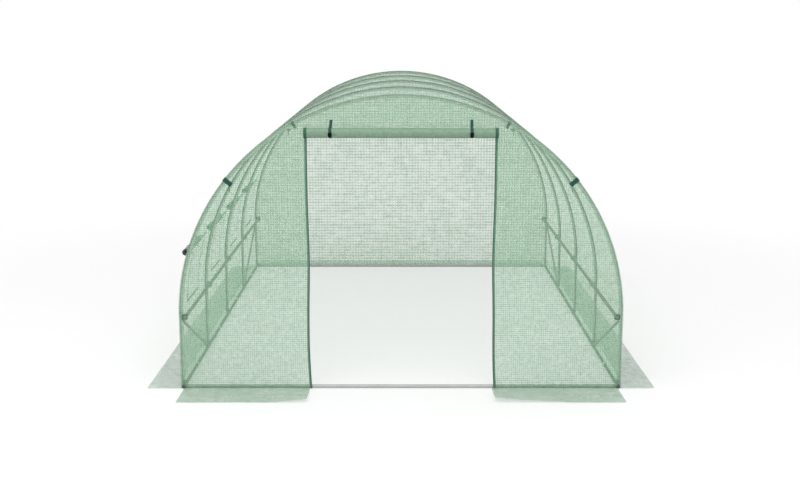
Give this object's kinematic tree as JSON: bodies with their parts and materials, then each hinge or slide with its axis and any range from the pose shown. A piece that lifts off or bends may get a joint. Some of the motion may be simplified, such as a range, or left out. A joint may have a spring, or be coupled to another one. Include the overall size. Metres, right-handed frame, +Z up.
{
  "type": "polytunnel greenhouse",
  "caption": "Walk-in polytunnel: round steel hoops on ground rails under a pale green see-through woven cover, with a rolled-up door, net windows and ground skirts.",
  "frame": {"origin": "on the ground at the middle of the whole footprint, skirts included", "axes": "+Z up, +Y along the tunnel from the door end to the back end, +X to the right seen from the door; the windows are on -X"},
  "size_m": [3.46, 4.632, 2],
  "materials": {
    "hoop_tube": "galvanised, satin",
    "rail_tube": "galvanised, satin",
    "purlin_tube": "galvanised, satin",
    "brace_tube": "galvanised, satin",
    "fitting_steel": "galvanised, satin",
    "clamp_steel": "dark green-black, satin",
    "end_cap_plastic": "black, matt",
    "clip_plastic": "pale green, matt",
    "hem_sheet": "woven film, doubled",
    "tunnel_sheet": "translucent woven film",
    "end_sheet": "translucent woven film",
    "skirt_sheet": "translucent woven film",
    "door_sheet": "woven film, rolled in many layers",
    "door_binding": "dark green woven tape",
    "strap_webbing": "dark green webbing",
    "buckle_plastic": "black, moulded",
    "window_net": "fine insect net",
    "window_binding": "woven film, folded and sewn",
    "flap_sheet": "woven film, rolled",
    "tie_webbing": "dark green webbing"
  },
  "bodies": {
    "root": {"back_wall": "end_sheet", "base_rail_back": "rail_tube", "base_rail_front": "rail_tube", "base_rail_left": "rail_tube", "base_rail_right": "rail_tube", "brace_back_left": "brace_tube", "brace_back_right": "brace_tube", "brace_front_left": "brace_tube", "brace_front_right": "brace_tube", "door_buckles": "buckle_plastic", "door_roll": "door_sheet", "door_straps": "strap_webbing", "door_zip_left": "door_binding", "door_zip_right": "door_binding", "foot_fittings": "fitting_steel", "front_wall_left": "end_sheet", "front_wall_right": "end_sheet", "front_wall_top": "end_sheet", "hem_clips": "clip_plastic", "hoop_1": "hoop_tube", "hoop_2": "hoop_tube", "hoop_3": "hoop_tube", "hoop_4": "hoop_tube", "hoop_5": "hoop_tube", "hoop_ties": "strap_webbing", "purlin_clamps": "clamp_steel", "purlin_left": "purlin_tube", "purlin_right": "purlin_tube", "rail_end_caps": "end_cap_plastic", "rail_hem_left": "hem_sheet", "rail_hem_right": "hem_sheet", "roof_left": "tunnel_sheet", "roof_right": "tunnel_sheet", "side_panel_left": "tunnel_sheet", "side_panel_right": "tunnel_sheet", "skirt_back": "skirt_sheet", "skirt_front_left": "skirt_sheet", "skirt_front_right": "skirt_sheet", "skirt_side_left": "skirt_sheet", "skirt_side_right": "skirt_sheet", "window_borders": "window_binding", "window_nets": "window_net", "window_rolls": "flap_sheet", "window_ties": "tie_webbing"}
  },
  "joints": []
}
